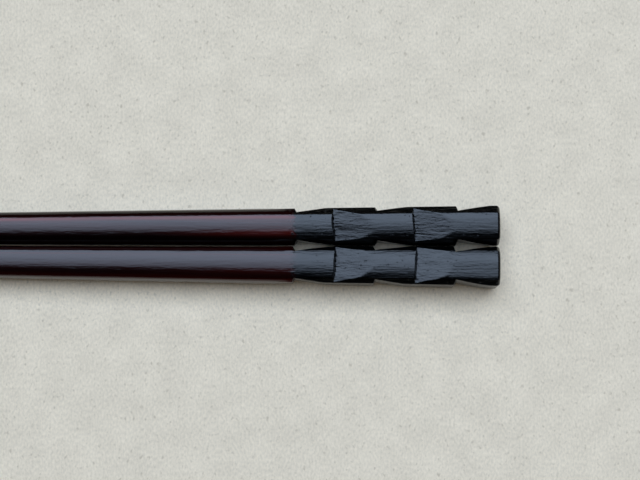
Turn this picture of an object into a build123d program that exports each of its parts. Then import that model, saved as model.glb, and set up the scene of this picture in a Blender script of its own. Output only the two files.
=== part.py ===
from build123d import *
from math import cos, pi, sin
import os

# A pair of lacquered wooden chopsticks with notched grips, lying side by side.
# Each stick is carved from one piece of wood. X runs from the tips to the butts, Z is up,
# and the sticks lie on Z = 0 with their inner faces along Y = 0.

# Blank of one stick, in millimetres
LENGTH = 230.0              # tip to butt, along the stick's own axis
BUTT_WIDTH = 7.5            # between opposite faces at the butt
TIP_WIDTH = 3.6             # between opposite faces at the tip
BUTT_CORNER_RADIUS = 2.4    # rounding between neighbouring faces, at the butt
TIP_CORNER_RADIUS = 1.15    # the same at the tip
BUTT_EDGE_RADIUS = 0.7      # rounding around the butt end
TIP_ROUNDING = 1.0          # how far the tip end is rounded off
TIP_BEVELS = 3              # narrow bevels that round it
GRIP_LENGTH = 39.5          # from the butt to the end of the carved grip

# A carved notch: a leaning stop cut, then a flat facet that runs out towards the butt
NOTCH_FACET_LENGTH = 7.4    # from the foot of the stop cut to where the facet runs out
NOTCH_LEAN = 0.4            # run of the stop cut along the stick
NOTCH_PITCH = 14.65         # between notches of one face
NOTCH_OVERSHOOT = 0.5       # how far both cuts go on above the face, as a share of the notch's depth

# The notches differ by hand: from the butt to the lip of the nearest one, and the depth of each at its foot
FAR_TOP_NOTCH = 15.85
FAR_TOP_DEPTHS = (0.75, 0.75)
FAR_SIDE_NOTCH = 8.05
FAR_SIDE_DEPTHS = (1.0, 0.8, 0.85)
NEAR_TOP_NOTCH = 15.55
NEAR_TOP_DEPTHS = (1.0, 1.0)
NEAR_SIDE_NOTCH = 8.35
NEAR_SIDE_DEPTHS = (1.0, 0.8, 0.85)

# The pair at rest
PAIR_GAP = 0.2              # between the two inner faces

# Growth of a face's distance from the axis and of the corner radius, for each millimetre towards the butt
FACE_RISE = (BUTT_WIDTH - TIP_WIDTH) / 2 / LENGTH
CORNER_GROWTH = (BUTT_CORNER_RADIUS - TIP_CORNER_RADIUS) / LENGTH


def face_height(station):
    """Distance from the axis to a face, at a distance from the tip."""
    return TIP_WIDTH / 2 + FACE_RISE * station


def blank_sections():
    """Stations of the blank from tip to butt, each with how far its outline is drawn in."""
    turns = [pi / 2 * step / TIP_BEVELS for step in range(TIP_BEVELS + 1)]
    tip = [(TIP_ROUNDING * (1 - cos(turn)), TIP_ROUNDING * (1 - sin(turn))) for turn in turns]
    return tip + [(LENGTH - GRIP_LENGTH, 0), (LENGTH, 0)]


def notch_corners(lip_station, depth):
    """Corners of one notch cutter: foot of the stop cut, end of the facet, top of the stop cut."""
    foot = Vector(lip_station + NOTCH_LEAN, face_height(lip_station + NOTCH_LEAN) - depth)
    runout = Vector(foot.X + NOTCH_FACET_LENGTH, face_height(foot.X + NOTCH_FACET_LENGTH))
    lip = Vector(lip_station, face_height(lip_station))
    reach = 1 + NOTCH_OVERSHOOT
    return foot, foot + (runout - foot) * reach, foot + (lip - foot) * reach


def build_stick(label, side, top_notches, side_notches):
    """One stick, on the +Y side or the -Y side, tipped so that its bottom and inner faces lie level.

    The notches of the top and bottom faces, and those of the side faces, are each given as the first lip's
    distance from the butt and the depth of each notch from there on.
    """
    axis = Vector(1, side * FACE_RISE, FACE_RISE).normalized()
    tip_centre = Vector(-LENGTH / 2, side * (PAIR_GAP + TIP_WIDTH) / 2, TIP_WIDTH / 2)
    tip_plane = Plane(origin=tip_centre, x_dir=(0, 1, 0), z_dir=axis)
    notched_faces = (
        (tip_plane.y_dir, top_notches),
        (-tip_plane.y_dir, top_notches),
        (tip_plane.x_dir, side_notches),
        (-tip_plane.x_dir, side_notches),
    )

    with BuildPart() as stick:
        # Tapered blank with flat faces and rounded corners, drawn in to the tip and rounded at the butt
        for station, inset in blank_sections():
            shrink = 1 - inset / face_height(station)
            width = 2 * face_height(station) * shrink
            corner_radius = (TIP_CORNER_RADIUS + CORNER_GROWTH * station) * shrink
            with BuildSketch(tip_plane.offset(station)):
                RectangleRounded(width, width, corner_radius)
        loft(ruled=True)
        fillet(stick.faces().sort_by(Axis.X)[-1].edges(), BUTT_EDGE_RADIUS)

        # Notches of the grip, face by face around the stick
        for outward, (first_lip, depths) in notched_faces:
            with BuildSketch(Plane(origin=tip_centre, x_dir=axis, z_dir=axis.cross(outward))):
                for number, depth in enumerate(depths):
                    lip_station = LENGTH - first_lip - number * NOTCH_PITCH
                    with BuildLine():
                        Polyline(*notch_corners(lip_station, depth), close=True)
                    make_face()
            extrude(amount=BUTT_WIDTH, both=True, mode=Mode.SUBTRACT)

    stick.part.label = label
    export_step(stick.part, f"parts/{label}.step")


os.makedirs("parts", exist_ok=True)
build_stick("far_chopstick", 1, (FAR_TOP_NOTCH, FAR_TOP_DEPTHS), (FAR_SIDE_NOTCH, FAR_SIDE_DEPTHS))
build_stick("near_chopstick", -1, (NEAR_TOP_NOTCH, NEAR_TOP_DEPTHS), (NEAR_SIDE_NOTCH, NEAR_SIDE_DEPTHS))
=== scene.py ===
from collections import namedtuple
from math import pi, radians, tan

import bpy
import numpy as np
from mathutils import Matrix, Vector


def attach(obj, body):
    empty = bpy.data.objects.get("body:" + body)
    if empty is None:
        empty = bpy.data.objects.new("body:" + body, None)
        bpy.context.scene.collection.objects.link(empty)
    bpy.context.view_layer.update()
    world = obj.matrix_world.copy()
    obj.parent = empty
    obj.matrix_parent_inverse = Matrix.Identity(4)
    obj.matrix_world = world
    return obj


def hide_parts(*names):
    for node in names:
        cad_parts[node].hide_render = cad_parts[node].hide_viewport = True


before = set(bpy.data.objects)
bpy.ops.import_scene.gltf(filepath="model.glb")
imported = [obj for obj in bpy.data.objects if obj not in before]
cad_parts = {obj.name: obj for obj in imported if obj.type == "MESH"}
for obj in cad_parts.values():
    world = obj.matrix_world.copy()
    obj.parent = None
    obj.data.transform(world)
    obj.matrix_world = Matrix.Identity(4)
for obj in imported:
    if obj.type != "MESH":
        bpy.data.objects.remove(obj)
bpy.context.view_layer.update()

# A pair of lacquered chopsticks with hand-cut notches in their grips.
# Shapes are worked out in millimetres and written to the meshes in metres.
# X runs from the tips to the butts, the far stick lies on the +Y side, and +Z is up.
# A station is a distance from the tip, and angles around a stick run from +Y upwards.
MM = 0.001

# Blank of one stick
LENGTH = 230.0
BUTT_WIDTH = 7.5
TIP_WIDTH = 3.6
BUTT_EDGE_RADIUS = 0.7
TIP_ROUNDING = 1.0
GRIP_LENGTH = 39.5
PAIR_GAP = 0.2
FACE_RISE = (BUTT_WIDTH - TIP_WIDTH) / 2 / LENGTH
FACE_BOW = 2.35             # radius of the bowed faces, as a multiple of their distance from the axis
ROLL_CHANGE = (LENGTH - 45.0, LENGTH - 20.0)        # where the shaft's roll turns into the grip's
SECTION_CHANGE = (LENGTH - 43.0, LENGTH - 36.5)     # the same for the section
BEVEL_SOFTNESS = 0.04       # how far the grip's faces and bevels run into each other
FLANK_INSET = 0.2           # how far the grip's outer flank is planed down
LEAST_COSINE = 0.1          # keeps the distance to a flank finite around the top and the bottom

# Notches: a leaning stop cut, then a facet that runs out towards the butt
NOTCH_FACET_LENGTH = 7.4
NOTCH_LEAN = 0.4
NOTCH_PITCH = 14.65
FACET_CURVE = 1.25          # above 1, the facet runs out more gently than it starts
FACET_CROWN = 0.1           # how far the ends of a facet across the stick lie below its middle
CUT_REACH = 0.2             # cosine of the angle that a cut reaches around from the middle of its face
PLANING_END = (9.0, 12.0)   # from the butt, where the flat planed on the top ends
PLANING_RISE = 1.0          # how far that flat climbs there

# Traces of the knife
EDGE_SOFTNESS = 0.03        # how far a notch and the faces around it run into each other
PLANING_SOFTNESS = 0.12     # the same for the planed flat
LIP_WEAR = 0.3              # how far the ends of a lip are worn back
LIP_WEAR_POWER = 5          # the higher, the closer the wear keeps to the ends
LIP_WOBBLE = 0.07           # waviness of the lip across the stick
LIP_WAVE = 1.2              # width of those waves
TOOTH_REACH = 0.14          # raggedness along the stick at the foot of a stop cut
TOOTH_WIDTH = 0.32
CARVED_DEPTH = 0.06         # depth of a cut from which on its torn grain shows in full

# Unevenness of a facet: height, reach past the foot of the stop cut, width and length of one mark
BEADS = (0.028, 0.9, 0.3, 0.45)     # torn grain
STREAKS = (0.016, 3.5, 0.3, 1.6)    # scratches that run on from it
WAVES = (0.03, 40.0, 1.1, 3.2)      # slow waves over the whole facet

# Lacquer: where it changes, then its unevenness, with sizes around the stick and along it
BLACK_LENGTH = 37.5         # from the butt to the edge of the black lacquer
RED_AND_SHEEN_CHANGE = (LENGTH - 65.0, LENGTH - GRIP_LENGTH)     # where the red shares, partly painted red sheen, turn into those by the grip
RIPPLE_HEIGHT = 0.012       # slow waves all over
RIPPLE_SIZE = (2.8, 8.0)
WRINKLE_HEIGHT = 0.02       # wrinkles where the black lacquer starts
WRINKLE_SIZE = (0.5, 0.7)
WRINKLE_REACH = 2.2

# Seeds of the random heights, added to a stick's own seed
FACE_SEEDS = 100            # from one face to the next
NOTCH_SEEDS = 10            # from one notch to the next
MARKS_SEED = 1
TEETH_SEED = 7
RIPPLE_SEED = 5
WRINKLE_SEED = 6
NOISE_CELLS = 64            # random heights along each side of a noise lattice

# One stick, with angles in degrees:
# node is the solid that it replaces, and side is 1 towards +Y or -1 towards -Y.
# top and flank give the first lip's distance from the butt, and the depth of each notch from there on.
# slant is how far a stop cut of the top shifts towards the tip for each millimetre towards -Y.
# facet_lean turns the top's facets towards +Y, and rolls turn the shaft and the grip that way.
# corners are the rounding of the shaft's section at the tip, and what it would come to at the butt.
# bevels give the grip's outer side, then its inner one: half-width of the top, as a share of the
# stick's, and slope of the bevel beside it.
# planing is the depth of the flat planed on the top, and its lean towards +Y.
# The red shares give angles around the stick, with the share of red there on the shaft and by the grip;
# the low share all round is the lacquer's own dark red, the raised ones are painted red sheen.
# seed is where its random heights start.
Stick = namedtuple("Stick", "node side top flank slant facet_lean rolls corners bevels planing thin seed")
STICKS = (
    Stick(
        node="far_chopstick",
        side=1,
        top=(15.85, (0.95, 0.95)),
        flank=(8.05, (1.0, 0.8, 0.85)),
        slant=-0.05,
        facet_lean=-1.2,
        rolls=(-0.2, -0.5),
        corners=(1.5, 1.9),
        bevels=((0.6, 37.5), (0.71, 62)),
        planing=(0.02, 0.0),
        # the raised red shares here are painted red sheen
        thin=((0, 0.05, 0.05), (45, 0.03, 0.03), (56.5, 0.06, 0.06), (60, 0.6, 0.6), (63.5, 1.0, 1.0),
              (67, 0.55, 0.55), (72, 0.22, 0.25), (98, 0.12, 0.16), (106, 0.08, 0.34), (113, 0.02, 0.27),
              (121, 0.0, 0.04), (130, 0.0, 0.0), (270, 0.1, 0.1)),
        seed=11,
    ),
    Stick(
        node="near_chopstick",
        side=-1,
        top=(15.55, (1.05, 1.05)),
        flank=(8.35, (1.0, 0.8, 0.85)),
        slant=0.05,
        facet_lean=1.8,
        rolls=(0.0, 3.0),
        corners=(0.75, 1.25),
        bevels=((0.69, 41.5), (0.755, 53)),
        planing=(0.08, -3.8),
        # the raised red shares here are painted red sheen
        thin=((0, 0.05, 0.1), (45, 0.05, 0.08), (56, 0.06, 0.1), (61, 0.2, 0.25), (68, 0.12, 0.15),
              (98, 0.1, 0.12), (107, 0.06, 0.15), (114, 0.02, 0.08), (122, 0.02, 0.04), (130, 0.06, 0.04),
              (140, 0.2, 0.33), (150, 0.1, 0.12), (270, 0.1, 0.1)),
        seed=5011,
    ),
)

# Mesh
RING_POINTS = 300
OUTLINE_SAMPLES = 100       # for each point of a ring, to space the points along its outline
CORNER_START = 26           # degrees from the middle of a face at which the points start to lie closer
CORNER_DENSITY = 2          # how much closer
SHAFT_STEP = 4.0
GRIP_STEP = 0.22
GRIP_LEAD = 2.0             # how far the close rings start before the grip
STOP_CUT_STEP = 0.07
STOP_CUT_SPAN = (-0.55, 0.9)        # from the lip
EDGE_STEPS = 7              # rings around each end's rounding
CAP_RINGS = (0.8, 0.55, 0.3)        # scales of the rings on each end

# Looks of the lacquer: cells of noise in a metre, along X, Y and Z where there are three
DEEP_RED = (0.0012, 0.0003, 0.0003, 1)
# full red: the lacquer's own dark red at low shares, and painted red sheen where the shares are raised
RED_AND_SHEEN = (0.145, 0.011, 0.007, 1)
BLACK = (0.0004, 0.0004, 0.0004, 1)
RED_ROUGHNESS = (0.13, 0.17)
BLACK_ROUGHNESS = (0.19, 0.25)
LACQUER_IOR = 1.45
NOISE_RANGE = (0.3, 0.7)    # where most noise lies
EDGE_CELLS = 1900.0         # edge of the black lacquer
EDGE_STRAY = 0.7            # how far it strays either way
EDGE_FADE = 0.5             # how far it fades either way
GRAIN_CELLS = (30.0, 900.0, 900.0)
GRAIN_SHARE = (0.7, 1.3)    # what the grain multiplies the red by
PATCH_CELLS = 260.0         # patches of more and less gloss
BRUSH_CELLS = (260.0, 2600.0, 2600.0)
BRUSH_HEIGHT = 0.03
GRIT_CELLS = (1500.0, 3200.0, 3200.0)
GRIT_HEIGHT = 0.012
RED_RELIEF = 0.85           # strength of brush marks and grit
BLACK_RELIEF = 1.7
CARVED_RELIEF = 2.1
PIT_CELLS = 2300.0
PIT_RANGE = (0.79, 0.85)    # noise at which a pit starts, and at which it is deepest
PIT_DEPTH = 0.04

# Floor
FLOOR_HALF = 3.0            # metres
FLOOR_LEVEL = -0.02
FLOOR_DARK = (0.70, 0.58, 0.423, 1)
FLOOR_PALE = (0.97, 0.805, 0.588, 1)
FLOOR_SPECK = (0.45, 0.36, 0.25, 1)
FLOOR_ROUGHNESS = 0.9
FLOOR_SPECULAR = 0.2
MOTTLE_CELLS = 190.0
MOTTLE_SHARE = 0.3
FIBRE_CELLS = (2600.0, 1500.0, 1.0)
FIBRE_RANGE = (0.25, 0.75)
FIBRE_SHARE = 0.7
SPECK_CELLS = (1300.0, 1000.0, 1.0)
SPECK_RANGE = (0.63, 0.78)
SPECK_SHARE = 0.5

# Camera: above the grips, leaning a little towards the near side
CAMERA_TARGET = (82.4, 1.16, 3.7)
CAMERA_DISTANCE = 274.4
CAMERA_LEAN = 4.5           # degrees from straight down
CAMERA_ROLL = 0.24          # degrees
FRAME_WIDTH = 117.1         # seen at the target
SENSOR_WIDTH = 36.0

# Window light: angles from straight up towards +Y that each zone starts and ends at, and its radiance
WINDOW_ZONES = ((-8, -3, 2.0), (-3, 2, 2.6), (2, 7, 3.2), (7, 12, 3.9), (12, 18, 4.4), (18, 43, 4.9))
WINDOW_SIDES = (-30, 38)    # angles from straight up towards +X
WINDOW_COLOUR = (0.60, 0.755, 1.0)
WINDOW_DISTANCE = 2.4       # metres
ROOM_COLOUR = (0.08, 0.058, 0.022, 1)
HORIZON_COLOUR = (0.2, 0.19, 0.17, 1)
HORIZON_HEIGHT = 0.25       # sine of the elevation at which the horizon's colour ends


def face_height(station):
    """Distance from the axis to a face."""
    return TIP_WIDTH / 2 + FACE_RISE * station


def corner_radius(station, corners):
    """Rounding between neighbouring faces, from its values at the tip and the butt."""
    return corners[0] + (corners[1] - corners[0]) * station / LENGTH


def ease(value, start, end):
    """A smooth step from 0 at the start to 1 at the end."""
    share = np.clip((value - start) / (end - start), 0, 1)
    return share ** 2 * (3 - 2 * share)


def smooth_noise(across, along, seed):
    """Smooth random heights between -1 and 1, one for each unit of either coordinate."""
    lattice = np.random.default_rng(seed).uniform(-1, 1, (NOISE_CELLS, NOISE_CELLS))
    column, row = np.floor(across).astype(int), np.floor(along).astype(int)
    blend_x, blend_y = ease(across - column, 0, 1), ease(along - row, 0, 1)

    def corner(step_x, step_y):
        return lattice[(column + step_x) % NOISE_CELLS, (row + step_y) % NOISE_CELLS]

    near = corner(0, 0) * (1 - blend_x) + corner(1, 0) * blend_x
    far = corner(0, 1) * (1 - blend_x) + corner(1, 1) * blend_x
    return near * (1 - blend_y) + far * blend_y


def smooth_minimum(first, second, softness):
    """The lower of two heights, rounded where they cross."""
    overlap = np.clip(1 - np.abs(first - second) / softness, 0, 1)
    return np.minimum(first, second) - overlap ** 2 * softness / 4


def face_turn(angles):
    """Angle from the middle of the nearest face."""
    return np.abs((angles + pi / 4) % (pi / 2) - pi / 4)


def shaft_section(angles, half_width, rounding):
    """Distance from the axis to a square with bowed faces that run smoothly into rounded corners."""
    turn = face_turn(angles)
    bow = FACE_BOW * half_width
    behind = bow - half_width
    diagonal = (np.sqrt(2 * (bow - rounding) ** 2 - behind ** 2) - behind) / 2
    end_lean = np.arctan2(diagonal, diagonal + behind)
    face_end = np.arctan2(bow * np.sin(end_lean), bow * np.cos(end_lean) - behind)
    face = np.sqrt(bow ** 2 - (behind * np.sin(turn)) ** 2) - behind * np.cos(turn)
    reach = diagonal * (np.cos(turn) + np.sin(turn))
    corner = reach + np.sqrt(np.maximum(reach ** 2 - 2 * diagonal ** 2 + rounding ** 2, 0))
    return np.where(turn <= face_end, face, corner)


def grip_section(angles, half_width, stick):
    """Distance from the axis to the grip's outline: bowed top and bottom, bevels and flat flanks."""
    turn = np.abs((angles + pi / 2) % pi - pi / 2)
    bow = FACE_BOW * half_width
    behind = bow - half_width
    outer = np.cos(angles) * stick.side > 0
    top_share, slope = (np.where(outer, *choice) for choice in zip(*stick.bevels))
    slope = np.radians(slope)
    aside = top_share * half_width
    bevel_height = aside * np.sin(slope) + (np.sqrt(bow ** 2 - aside ** 2) - behind) * np.cos(slope)
    face = np.sqrt(bow ** 2 - (behind * np.cos(turn)) ** 2) - behind * np.sin(turn)
    bevel = bevel_height / np.sin(turn + slope)
    flank = (half_width - FLANK_INSET * outer) / np.maximum(np.cos(turn), LEAST_COSINE)
    return smooth_minimum(smooth_minimum(face, bevel, BEVEL_SOFTNESS), flank, BEVEL_SOFTNESS)


def blank_radius(station, angles, inset, stick):
    """Distance from the axis to the surface before it is carved."""
    half_width = face_height(station) - inset
    shaft = shaft_section(angles, half_width, corner_radius(station, stick.corners) - inset)
    grip = grip_section(angles, half_width, stick)
    return shaft + (grip - shaft) * ease(station, *SECTION_CHANGE)


def notches(first_lip, depths):
    """Station of the lip and depth of each notch of one face, from the butt inwards."""
    return [(LENGTH - first_lip - number * NOTCH_PITCH, depth) for number, depth in enumerate(depths)]


def knife_marks(past_foot, across, station, seed):
    """Unevenness of a facet: torn beads at the foot of the stop cut, streaks and slow waves."""
    run = np.clip(past_foot, 0, None)
    marks = 0
    for number, (height, reach, width, length) in enumerate((BEADS, STREAKS, WAVES)):
        noise = smooth_noise(across / width, station / length, seed + number)
        marks += height * np.exp(-run / reach) * noise
    return marks


def notch_height(station, across, cuts, slant, lean, seed):
    """Height above the axis that the notches of one face leave standing."""
    height = np.full(station.shape, np.inf)
    for number, (lip, depth) in enumerate(cuts):
        noise_seed = seed + NOTCH_SEEDS * number
        half_width = face_height(lip)
        wobble = LIP_WOBBLE * smooth_noise(across / LIP_WAVE, across * 0, noise_seed)
        run = station - lip + slant * across + wobble
        worn = LIP_WEAR * np.abs(across / half_width) ** LIP_WEAR_POWER
        ragged = TOOTH_REACH * smooth_noise(across / TOOTH_WIDTH, across * 0, noise_seed + TEETH_SEED)
        ragged *= np.clip(run / NOTCH_LEAN, 0, 1)
        wall = half_width - (run + worn + ragged) * depth / NOTCH_LEAN
        past_foot = run - NOTCH_LEAN
        left = 1 - past_foot / NOTCH_FACET_LENGTH
        facet = half_width + past_foot * FACE_RISE - depth * np.sign(left) * np.abs(left) ** FACET_CURVE
        facet += tan(radians(lean)) * across - FACET_CROWN * (across / half_width) ** 2
        facet += knife_marks(past_foot, across, station, noise_seed + MARKS_SEED)
        height = np.minimum(height, np.maximum(wall, facet))
    return height


def shave(radius, turned, height, softness):
    """Distance from the axis that is left where one face is cut down to a height."""
    outward = np.cos(turned)
    facing = outward > CUT_REACH
    cut = np.where(facing, height / np.where(facing, outward, 1), np.inf)
    return smooth_minimum(radius, cut, softness)


def carve_notches(radius, station, angles, stick):
    """Distance from the axis that the notches of all four faces leave."""
    for number in range(4):
        turned = angles - number * pi / 2
        across = radius * np.sin(turned)
        if number % 2:
            cuts, slant, lean = notches(*stick.top), stick.slant, stick.facet_lean
        else:
            cuts, slant, lean = notches(*stick.flank), 0, 0
        height = notch_height(station, across, cuts, slant, lean, stick.seed + FACE_SEEDS * number)
        radius = shave(radius, turned, height, EDGE_SOFTNESS)
    return radius


def plane_top(radius, half_width, station, angles, stick):
    """Distance from the axis that is left once a flat is planed on the top, near the butt."""
    depth, lean = stick.planing
    turned = angles - pi / 2
    climb = PLANING_RISE * ease(LENGTH - station, *PLANING_END)
    flat = half_width - depth + tan(radians(lean)) * radius * np.sin(turned) + climb
    return shave(radius, turned, flat, PLANING_SOFTNESS)


def uneven_lacquer(radius, half_width, station, angles, seed):
    """Distance from the axis to the lacquer: slow ripples, and wrinkles where the black starts."""
    around = angles * half_width
    ripple = smooth_noise(around / RIPPLE_SIZE[0], station / RIPPLE_SIZE[1], seed + RIPPLE_SEED)
    radius = radius - RIPPLE_HEIGHT * (1 + ripple) / 2
    edge = np.exp(-((station - LENGTH + BLACK_LENGTH) / WRINKLE_REACH) ** 2)
    wrinkles = smooth_noise(around / WRINKLE_SIZE[0], station / WRINKLE_SIZE[1], seed + WRINKLE_SEED)
    return radius - WRINKLE_HEIGHT * edge * (1 + wrinkles) / 2


def stick_surface(station, angles, inset, stick):
    """Distance from the axis to the finished surface, and how far each place is carved."""
    half_width = face_height(station) - inset
    blank = blank_radius(station, angles, inset, stick)
    radius = carve_notches(blank, station, angles, stick)
    carved = ease(blank - radius, 0, CARVED_DEPTH)
    radius = plane_top(radius, half_width, station, angles, stick)
    return uneven_lacquer(radius, half_width, station, angles, stick.seed), carved


def red_and_sheen_share(station, angles, stick):
    """Share of red: the lacquer's own dark red all round, with painted red sheen where the share is
    raised.
    """
    around, *shares = zip(*stick.thin)
    on_shaft, by_grip = (np.interp(np.degrees(angles), around, share, period=360) for share in shares)
    return on_shaft + (by_grip - on_shaft) * ease(station, *RED_AND_SHEEN_CHANGE)


def ring_angles(stick):
    """Angles that space the points of a ring along the grip's outline, closer in its corners."""
    fine = np.linspace(0, 2 * pi, OUTLINE_SAMPLES * RING_POINTS)
    radius = blank_radius(LENGTH - GRIP_LENGTH / 2, fine, 0, stick)
    outline = np.stack([radius * np.cos(fine), radius * np.sin(fine)])
    density = np.where(face_turn(fine[1:]) > radians(CORNER_START), CORNER_DENSITY, 1)
    walked = np.concatenate([[0], np.cumsum(density * np.hypot(*np.diff(outline)))])
    return np.interp(np.arange(RING_POINTS) / RING_POINTS * walked[-1], walked, fine)


def side_stations(stick):
    """Stations of the rings between both ends, closer together in the grip and at each stop cut."""
    grip_start = LENGTH - GRIP_LENGTH - GRIP_LEAD
    shaft = np.arange(TIP_ROUNDING, grip_start, SHAFT_STEP)
    grip = np.arange(grip_start, LENGTH - BUTT_EDGE_RADIUS, GRIP_STEP)
    for lip, _ in notches(*stick.top) + notches(*stick.flank):
        start, end = lip + STOP_CUT_SPAN[0], lip + STOP_CUT_SPAN[1]
        grip = grip[(grip < start - STOP_CUT_STEP) | (grip > end + STOP_CUT_STEP)]
        grip = np.concatenate([grip, np.arange(start, end, STOP_CUT_STEP)])
    return np.concatenate([shaft, np.sort(grip), [LENGTH - BUTT_EDGE_RADIUS]])


def stick_rings(stick):
    """Columns with each ring's station, how far its outline is drawn in, and its scale."""
    turns = np.linspace(0, pi / 2, EDGE_STEPS, endpoint=False)
    tip_face = 1 - TIP_ROUNDING / face_height(0)
    rings = [(0, 0, tip_face * scale) for scale in reversed(CAP_RINGS)]
    for turn in turns:
        station = TIP_ROUNDING * (1 - np.cos(turn))
        rings.append((station, 0, 1 - TIP_ROUNDING * (1 - np.sin(turn)) / face_height(station)))
    rings += [(station, 0, 1) for station in side_stations(stick)]
    for turn in turns[1:]:
        station = LENGTH - BUTT_EDGE_RADIUS * (1 - np.sin(turn))
        rings.append((station, BUTT_EDGE_RADIUS * (1 - np.cos(turn)), 1))
    rings += [(LENGTH, BUTT_EDGE_RADIUS, scale) for scale in (1,) + CAP_RINGS]
    return (np.array(values)[:, None] for values in zip(*rings))


def stick_points(station, radius, angles, side):
    """Points of the rings, then the middle of the tip and of the butt, in metres."""
    # The axis leans so that the bottom and inner faces lie level
    axis = Vector((1, side * FACE_RISE, FACE_RISE)).normalized()
    sideways = (Vector((0, 1, 0)) - axis * axis.y).normalized()
    upward = axis.cross(sideways)
    tip_centre = np.array((-LENGTH / 2, side * (PAIR_GAP + TIP_WIDTH) / 2, TIP_WIDTH / 2))
    centres = tip_centre + station * np.array(axis)
    points = (centres[:, None, :]
              + (radius * np.cos(angles))[:, :, None] * np.array(sideways)
              + (radius * np.sin(angles))[:, :, None] * np.array(upward))
    return np.concatenate([points.reshape(-1, 3), centres[:1], centres[-1:]]) * MM


def ring_faces(ring_count):
    """Faces between neighbouring rings, and fans that close both ends."""
    index = np.arange(ring_count * RING_POINTS).reshape(ring_count, RING_POINTS)
    after = np.roll(index, -1, axis=1)
    quads = np.stack([index[:-1], after[:-1], after[1:], index[1:]], axis=-1).reshape(-1, 4)
    tip_point = np.full(RING_POINTS, index.size)
    tip_fan = np.stack([tip_point, after[0], index[0]], axis=-1)
    butt_fan = np.stack([tip_point + 1, index[-1], after[-1]], axis=-1)
    return quads.tolist() + tip_fan.tolist() + butt_fan.tolist()


def add_stick(name, stick):
    """One stick as a closed mesh of rings, rolled a little on its bowed underside."""
    angles = ring_angles(stick)
    station, inset, scale = stick_rings(stick)
    shaft_roll, grip_roll = (radians(roll) for roll in stick.rolls)
    rolled = angles + shaft_roll + (grip_roll - shaft_roll) * ease(station, *ROLL_CHANGE)
    radius, carved = stick_surface(np.broadcast_to(station, rolled.shape), rolled, inset, stick)
    points = stick_points(station, radius * scale, angles, stick.side)

    mesh = bpy.data.meshes.new(name)
    mesh.from_pydata(points.tolist(), [], ring_faces(len(station)))
    mesh.validate()
    mesh.shade_smooth()
    # the red share, partly painted red sheen, and how far each place is carved
    for layer, values in (("thin", red_and_sheen_share(station, rolled, stick)), ("carved", carved)):
        values = np.append(values.ravel(), (0, 0))
        mesh.attributes.new(layer, "FLOAT", "POINT").data.foreach_set("value", values)
    piece = bpy.data.objects.new(name, mesh)
    bpy.context.scene.collection.objects.link(piece)
    return piece


class Nodes:
    """The nodes of a material or of the world, added and linked in one call each."""

    def __init__(self, owner, shader):
        owner.use_nodes = True
        self.owner = owner
        self.tree = owner.node_tree
        self.shader = self.tree.nodes[shader]

    def add(self, kind, inputs=(), **settings):
        """One node, with its settings and with its inputs linked or set."""
        node = self.tree.nodes.new(kind)
        for key, value in settings.items():
            setattr(node, key, value)
        for key, value in dict(inputs).items():
            self.feed(node.inputs[key], value)
        return node

    def feed(self, socket, value):
        """Links an output to a socket, or sets the socket's value."""
        if isinstance(value, bpy.types.NodeSocket):
            self.tree.links.new(value, socket)
        else:
            socket.default_value = value

    def noise(self, place, cells, detail):
        """Noise with so many cells in a metre, either all round or along each axis."""
        if isinstance(cells, tuple):
            place = self.add("ShaderNodeMapping", {"Vector": place, "Scale": cells}).outputs["Vector"]
            cells = 1.0
        inputs = {"Vector": place, "Scale": cells, "Detail": detail}
        return self.add("ShaderNodeTexNoise", inputs).outputs["Fac"]

    def ramp(self, value, source, target=(0.0, 1.0)):
        """A value that runs over one range, turned into another range."""
        inputs = {"Value": value, "From Min": source[0], "From Max": source[1],
                  "To Min": target[0], "To Max": target[1]}
        return self.add("ShaderNodeMapRange", inputs).outputs["Result"]

    def math(self, operation, first, second):
        """One sum on two values."""
        return self.add("ShaderNodeMath", {0: first, 1: second}, operation=operation).outputs["Value"]

    def mix_numbers(self, share, first, second):
        """A number between two numbers, by the sockets that the node keeps for numbers."""
        return self.add("ShaderNodeMix", {"Factor": share, 2: first, 3: second}).outputs[0]

    def mix_colours(self, share, first, second):
        """A colour between two colours, by the sockets that the node keeps for colours."""
        inputs = {"Factor": share, 6: first, 7: second}
        return self.add("ShaderNodeMix", inputs, data_type="RGBA").outputs[2]

    def bump(self, height, distance, normal=None):
        """A bump in metres, on top of another."""
        inputs = {"Height": height, "Distance": distance, "Strength": 1.0}
        if normal:
            inputs["Normal"] = normal
        return self.add("ShaderNodeBump", inputs).outputs["Normal"]


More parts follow.
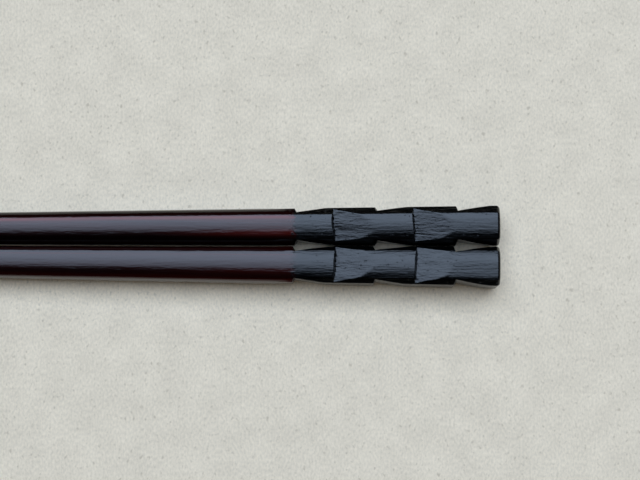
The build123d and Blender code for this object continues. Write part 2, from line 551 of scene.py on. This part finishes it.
def lacquer_material():
    """Dark red lacquer with the grain in its red and painted red sheen at some angles, with black lacquer
    over the grip.
    """
    nodes = Nodes(bpy.data.materials.new("lacquered_wood"), "Principled BSDF")
    place = nodes.add("ShaderNodeTexCoord").outputs["Object"]
    along = nodes.add("ShaderNodeSeparateXYZ", {"Vector": place}).outputs["X"]

    # Ragged edge of the black lacquer
    stray = EDGE_STRAY * MM
    edge_noise = nodes.ramp(nodes.noise(place, EDGE_CELLS, detail=4.0), NOISE_RANGE, (-stray, stray))
    edge, fade = (LENGTH / 2 - BLACK_LENGTH) * MM, EDGE_FADE * MM
    black = nodes.ramp(nodes.math("ADD", along, edge_noise), (edge - fade, edge + fade))

    # Red that follows the grain: the lacquer's own dark red, and painted red sheen where the share is
    # raised
    grain = nodes.ramp(nodes.noise(place, GRAIN_CELLS, detail=4.0), NOISE_RANGE, GRAIN_SHARE)
    thin = nodes.add("ShaderNodeAttribute", attribute_name="thin").outputs["Fac"]
    red = nodes.mix_colours(nodes.math("MULTIPLY", thin, grain), DEEP_RED, RED_AND_SHEEN)
    nodes.feed(nodes.shader.inputs["Base Color"], nodes.mix_colours(black, red, BLACK))

    # The red is polished, the black is duller
    patches = nodes.noise(place, PATCH_CELLS, detail=3.0)
    red_roughness = nodes.ramp(patches, NOISE_RANGE, RED_ROUGHNESS)
    black_roughness = nodes.ramp(patches, NOISE_RANGE, BLACK_ROUGHNESS)
    roughness = nodes.mix_numbers(black, red_roughness, black_roughness)
    nodes.feed(nodes.shader.inputs["Roughness"], roughness)
    nodes.shader.inputs["IOR"].default_value = LACQUER_IOR

    # Brush marks in the lacquer, torn fibres where it lies over cut wood, and a few pits
    carved = nodes.add("ShaderNodeAttribute", attribute_name="carved").outputs["Fac"]
    whole = nodes.ramp(black, (0.0, 1.0), (RED_RELIEF, BLACK_RELIEF))
    relief = nodes.mix_numbers(carved, whole, CARVED_RELIEF)
    streaks = nodes.noise(place, BRUSH_CELLS, detail=3.0)
    brushed = nodes.bump(nodes.math("MULTIPLY", streaks, relief), BRUSH_HEIGHT * MM)
    grit = nodes.noise(place, GRIT_CELLS, detail=1.0)
    torn = nodes.bump(nodes.math("MULTIPLY", grit, relief), GRIT_HEIGHT * MM, brushed)
    pits = nodes.ramp(nodes.noise(place, PIT_CELLS, detail=0.0), PIT_RANGE)
    pitted = nodes.bump(nodes.math("MULTIPLY", pits, black), -PIT_DEPTH * MM, torn)
    nodes.feed(nodes.shader.inputs["Normal"], pitted)
    return nodes.owner


def floor_material():
    """Pale paper with a faint mottle, short fibres and a few darker specks."""
    nodes = Nodes(bpy.data.materials.new("pale_floor"), "Principled BSDF")
    place = nodes.add("ShaderNodeTexCoord").outputs["Object"]
    mottle = nodes.ramp(nodes.noise(place, MOTTLE_CELLS, detail=5.0), NOISE_RANGE, (0.0, MOTTLE_SHARE))
    fibres = nodes.ramp(nodes.noise(place, FIBRE_CELLS, detail=2.0), FIBRE_RANGE, (0.0, FIBRE_SHARE))
    paper = nodes.mix_colours(nodes.math("ADD", mottle, fibres), FLOOR_DARK, FLOOR_PALE)
    specks = nodes.ramp(nodes.noise(place, SPECK_CELLS, detail=1.0), SPECK_RANGE, (0.0, SPECK_SHARE))
    nodes.feed(nodes.shader.inputs["Base Color"], nodes.mix_colours(specks, paper, FLOOR_SPECK))
    nodes.shader.inputs["Roughness"].default_value = FLOOR_ROUGHNESS
    nodes.shader.inputs["Specular IOR Level"].default_value = FLOOR_SPECULAR
    return nodes.owner


def add_floor():
    """A wide pale floor just under the sticks."""
    corners = [(x * FLOOR_HALF, y * FLOOR_HALF, FLOOR_LEVEL * MM)
               for x, y in ((-1, -1), (1, -1), (1, 1), (-1, 1))]
    mesh = bpy.data.meshes.new("floor")
    mesh.from_pydata(corners, [], [(0, 1, 2, 3)])
    floor = bpy.data.objects.new("floor", mesh)
    bpy.context.scene.collection.objects.link(floor)
    floor.data.materials.append(floor_material())


def add_window_zone(start, end, radiance):
    """One soft panel of the window, facing the grips."""
    middle = radians(start + end) / 2
    left, right = (tan(radians(angle)) * WINDOW_DISTANCE for angle in WINDOW_SIDES)
    lamp = bpy.data.lights.new("window", "AREA")
    lamp.shape = "RECTANGLE"
    lamp.size = right - left
    lamp.size_y = 2 * tan(radians(end - start) / 2) * WINDOW_DISTANCE
    lamp.energy = radiance * pi * lamp.size * lamp.size_y
    lamp.color = WINDOW_COLOUR
    panel = bpy.data.objects.new("window", lamp)
    panel.location = (CAMERA_TARGET[0] * MM + (left + right) / 2,
                      np.sin(middle) * WINDOW_DISTANCE,
                      np.cos(middle) * WINDOW_DISTANCE)
    panel.rotation_euler = (-middle, 0, 0)
    bpy.context.scene.collection.objects.link(panel)


def add_lights():
    """A large window above the far side, and a dim room around it that the lacquer doesn't mirror."""
    for zone in WINDOW_ZONES:
        add_window_zone(*zone)
    nodes = Nodes(bpy.data.worlds.new("room"), "Background")
    direction = nodes.add("ShaderNodeTexCoord").outputs["Generated"]
    height = nodes.add("ShaderNodeSeparateXYZ", {"Vector": direction}).outputs["Z"]
    share = nodes.ramp(height, (0.0, HORIZON_HEIGHT))
    nodes.feed(nodes.shader.inputs["Color"], nodes.mix_colours(share, HORIZON_COLOUR, ROOM_COLOUR))
    bpy.context.scene.world = nodes.owner
    nodes.owner.cycles_visibility.glossy = False


def add_camera():
    """The camera, looking down at the grips."""
    camera = bpy.data.objects.new("camera", bpy.data.cameras.new("camera"))
    camera.data.sensor_width = SENSOR_WIDTH
    camera.data.lens = SENSOR_WIDTH * CAMERA_DISTANCE / FRAME_WIDTH
    lean = radians(CAMERA_LEAN)
    offset = Vector((0, -np.sin(lean), np.cos(lean))) * CAMERA_DISTANCE
    camera.location = (Vector(CAMERA_TARGET) + offset) * MM
    camera.rotation_euler = (lean, 0, radians(CAMERA_ROLL))
    bpy.context.scene.collection.objects.link(camera)
    bpy.context.scene.camera = camera


lacquer = lacquer_material()
for stick in STICKS:
    carved = add_stick(stick.node + "_carved", stick)
    carved.data.materials.append(lacquer)
    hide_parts(stick.node)
    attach(carved, "root")

add_floor()
add_lights()
add_camera()
bpy.context.scene.view_settings.view_transform = "Standard"
